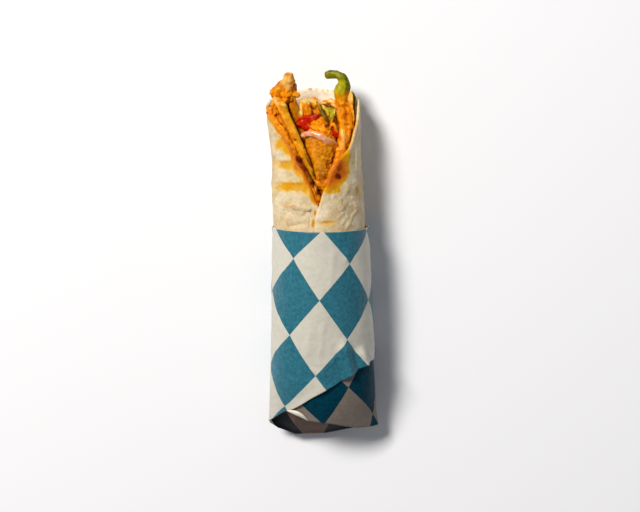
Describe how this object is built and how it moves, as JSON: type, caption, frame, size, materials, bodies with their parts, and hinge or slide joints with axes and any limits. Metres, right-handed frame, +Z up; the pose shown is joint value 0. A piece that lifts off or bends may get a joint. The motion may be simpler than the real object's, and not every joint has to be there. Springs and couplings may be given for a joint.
{
  "type": "chicken wrap",
  "caption": "Rolled flatbread wrap with fried chicken, fries and vegetables showing in its open end, held in a folded paper sleeve with a diamond pattern.",
  "frame": {"origin": "middle of the wrap's footprint, on the surface that it lies on", "axes": "+Y along the roll towards the open end, +Z up through the V-shaped opening, +X to the right as seen from above"},
  "size_m": [0.0683, 0.2247, 0.0562],
  "materials": {
    "paper": "cream greaseproof paper printed with teal diamonds, matt with a faint sheen",
    "bread": "soft pale flatbread with light toast marks, dry and matt",
    "sauce": "thick orange chilli sauce, wet gloss",
    "fried_chicken": "golden fried crumb, slightly oily",
    "fry": "pale fried potato, slightly oily",
    "pepper": "green pepper, smooth skin and moist flesh",
    "tomato": "ripe tomato, wet",
    "onion": "pink onion stained by sauce, wet",
    "lettuce": "pale leaf, moist"
  },
  "bodies": {
    "root": {"paper_wrapper": "paper", "flatbread": "bread", "filling_core": "sauce", "sauced_strip": "sauce", "sauced_chunk": "sauce", "saucy_side": "sauce", "sauce_sliver": "sauce", "chicken_strip": "fried_chicken", "chicken_piece": "fried_chicken", "fry_front": "fry", "fry_back": "fry", "pepper_hook": "pepper", "pepper_strip": "pepper", "tomato_wedge": "tomato", "tomato_bit": "tomato", "onion_slice": "onion", "lettuce_leaf": "lettuce"}
  },
  "joints": []
}
